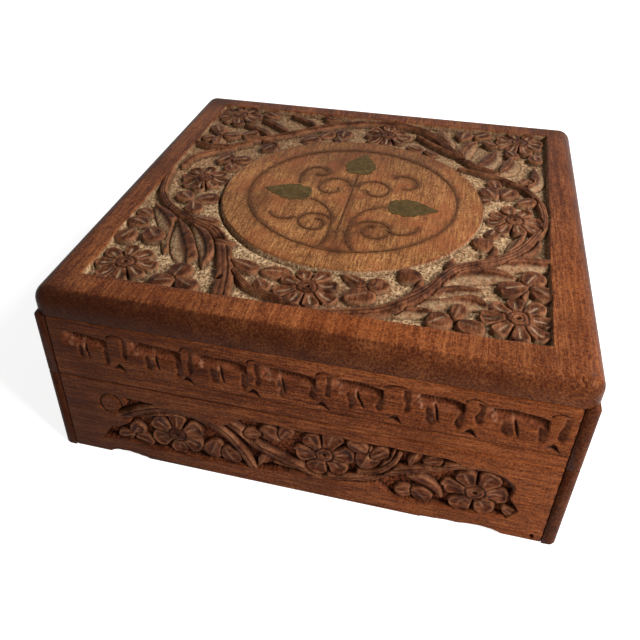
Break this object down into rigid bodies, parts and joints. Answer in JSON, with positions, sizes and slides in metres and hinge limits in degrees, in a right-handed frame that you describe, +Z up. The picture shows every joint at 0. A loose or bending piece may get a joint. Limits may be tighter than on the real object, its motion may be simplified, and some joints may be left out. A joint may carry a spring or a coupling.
{
  "type": "carved wooden box",
  "caption": "Square keepsake box of carved wood: hinged lid with a sunk floral field, a round medallion with a brass tree inlaid, and carved front boards.",
  "frame": {"origin": "on the table under the middle of the box, at the centre of the boards' outline in plan", "axes": "+Z up, +X to the right seen from the front, +Y towards the hinges at the back"},
  "size_m": [0.203, 0.2066, 0.082],
  "materials": {
    "carved_wood": "hand-rubbed wax over dark stain",
    "panel_wood": "bare sawn wood",
    "inlay_brass": "dull, tarnished olive brown",
    "hinge_brass": "worn, aged",
    "nail_steel": "dark, rusted"
  },
  "bodies": {
    "base": {"base_front_board": "carved_wood", "base_back_board": "carved_wood", "base_left_board": "carved_wood", "base_right_board": "carved_wood", "base_bottom_panel": "panel_wood", "base_corner_nails": "nail_steel", "base_bottom_nails": "nail_steel", "hinge_left_base_leaf": "hinge_brass", "hinge_right_base_leaf": "hinge_brass", "hinge_left_pin": "hinge_brass", "hinge_right_pin": "hinge_brass", "hinge_base_screws": "hinge_brass"},
    "lid": {"lid_top_slab": "carved_wood", "lid_front_strip": "carved_wood", "lid_back_strip": "carved_wood", "lid_left_strip": "carved_wood", "lid_right_strip": "carved_wood", "lid_corner_nails": "nail_steel", "hinge_left_lid_leaf": "hinge_brass", "hinge_right_lid_leaf": "hinge_brass", "hinge_lid_screws": "hinge_brass", "inlay_ring": "inlay_brass", "inlay_leaf_left": "inlay_brass", "inlay_leaf_top": "inlay_brass", "inlay_leaf_right": "inlay_brass", "inlay_trunk_wires": "inlay_brass", "inlay_scroll_wires": "inlay_brass"}
  },
  "joints": [
    {"name": "lid_hinge", "type": "hinge", "parent": "base", "child": "lid", "pos_m": [0, 0.1035, 0.042], "axis": [-1, 0, 0], "range_deg": [0, 180]}
  ]
}
